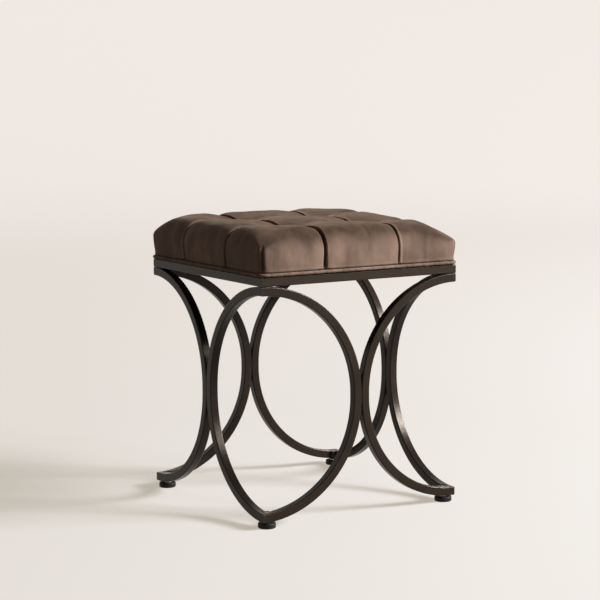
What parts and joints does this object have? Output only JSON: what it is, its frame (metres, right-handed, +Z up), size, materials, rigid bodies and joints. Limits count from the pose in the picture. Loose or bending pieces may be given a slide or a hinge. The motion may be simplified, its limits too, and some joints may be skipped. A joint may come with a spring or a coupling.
{
  "type": "accent stool",
  "caption": "Square accent stool: grid-tufted velvet cushion with piping on a dark steel frame of back-to-back C-shaped arcs, on screw-adjusted levelling feet.",
  "frame": {"origin": "on the floor, under the middle of the seat", "axes": "+Z up; -Y out of the front face, which is the right-hand face in the picture; +X to the right of someone facing the front"},
  "size_m": [0.395, 0.395, 0.494],
  "materials": {
    "frame_steel": "satin powder coat, near-black bronze",
    "zinc_steel": "zinc-plated steel",
    "foot_plastic": "matt moulded plastic",
    "plywood": "bare plywood",
    "velvet": "short-pile velvet, warm taupe brown",
    "velvet_piping": "velvet-covered piping",
    "foam": "open-cell upholstery foam",
    "wadding": "polyester wadding",
    "twine": "waxed tufting twine",
    "dust_cloth": "black non-woven cloth"
  },
  "bodies": {
    "stool": {"apron_rail_front": "frame_steel", "apron_rail_right": "frame_steel", "apron_rail_back": "frame_steel", "apron_rail_left": "frame_steel", "arc_front_left": "frame_steel", "arc_front_right": "frame_steel", "arc_right_front": "frame_steel", "arc_right_back": "frame_steel", "arc_back_right": "frame_steel", "arc_back_left": "frame_steel", "arc_left_back": "frame_steel", "arc_left_front": "frame_steel", "corner_tab_front_left": "frame_steel", "corner_tab_front_right": "frame_steel", "corner_tab_back_right": "frame_steel", "corner_tab_back_left": "frame_steel", "foot_bush_front_left": "frame_steel", "foot_bush_front_right": "frame_steel", "foot_bush_back_right": "frame_steel", "foot_bush_back_left": "frame_steel", "seat_board": "plywood", "t_nuts": "zinc_steel", "seat_washers": "zinc_steel", "seat_bolts": "zinc_steel", "seat_cover": "velvet", "foam_block": "foam", "wadding": "wadding", "tuft_ties": "twine", "welt_cord": "velvet_piping", "dust_cover": "dust_cloth", "staples": "zinc_steel"},
    "pad_front_left": {"foot_pad_front_left": "foot_plastic"},
    "stud_front_left": {"foot_stud_front_left": "zinc_steel"},
    "pad_front_right": {"foot_pad_front_right": "foot_plastic"},
    "stud_front_right": {"foot_stud_front_right": "zinc_steel"},
    "pad_back_right": {"foot_pad_back_right": "foot_plastic"},
    "stud_back_right": {"foot_stud_back_right": "zinc_steel"},
    "pad_back_left": {"foot_pad_back_left": "foot_plastic"},
    "stud_back_left": {"foot_stud_back_left": "zinc_steel"}
  },
  "joints": [
    {"name": "foot_height_front_left", "type": "slide", "parent": "stool", "child": "pad_front_left", "axis": [0, 0, -1], "range_m": [0, 0.008]},
    {"name": "foot_turn_front_left", "type": "hinge", "parent": "pad_front_left", "child": "stud_front_left", "pos_m": [-0.1785, -0.1785, 0.011], "axis": [0, 0, -1], "range_deg": [0, 2304]},
    {"name": "foot_height_front_right", "type": "slide", "parent": "stool", "child": "pad_front_right", "axis": [0, 0, -1], "range_m": [0, 0.008]},
    {"name": "foot_turn_front_right", "type": "hinge", "parent": "pad_front_right", "child": "stud_front_right", "pos_m": [0.1785, -0.1785, 0.011], "axis": [0, 0, -1], "range_deg": [0, 2304]},
    {"name": "foot_height_back_right", "type": "slide", "parent": "stool", "child": "pad_back_right", "axis": [0, 0, -1], "range_m": [0, 0.008]},
    {"name": "foot_turn_back_right", "type": "hinge", "parent": "pad_back_right", "child": "stud_back_right", "pos_m": [0.1785, 0.1785, 0.011], "axis": [0, 0, -1], "range_deg": [0, 2304]},
    {"name": "foot_height_back_left", "type": "slide", "parent": "stool", "child": "pad_back_left", "axis": [0, 0, -1], "range_m": [0, 0.008]},
    {"name": "foot_turn_back_left", "type": "hinge", "parent": "pad_back_left", "child": "stud_back_left", "pos_m": [-0.1785, 0.1785, 0.011], "axis": [0, 0, -1], "range_deg": [0, 2304]}
  ],
  "couplings": [
    {"joint": "foot_turn_front_left", "follows": "foot_height_front_left", "rad_per_m": 5026.5},
    {"joint": "foot_turn_front_right", "follows": "foot_height_front_right", "rad_per_m": 5026.5},
    {"joint": "foot_turn_back_right", "follows": "foot_height_back_right", "rad_per_m": 5026.5},
    {"joint": "foot_turn_back_left", "follows": "foot_height_back_left", "rad_per_m": 5026.5}
  ]
}
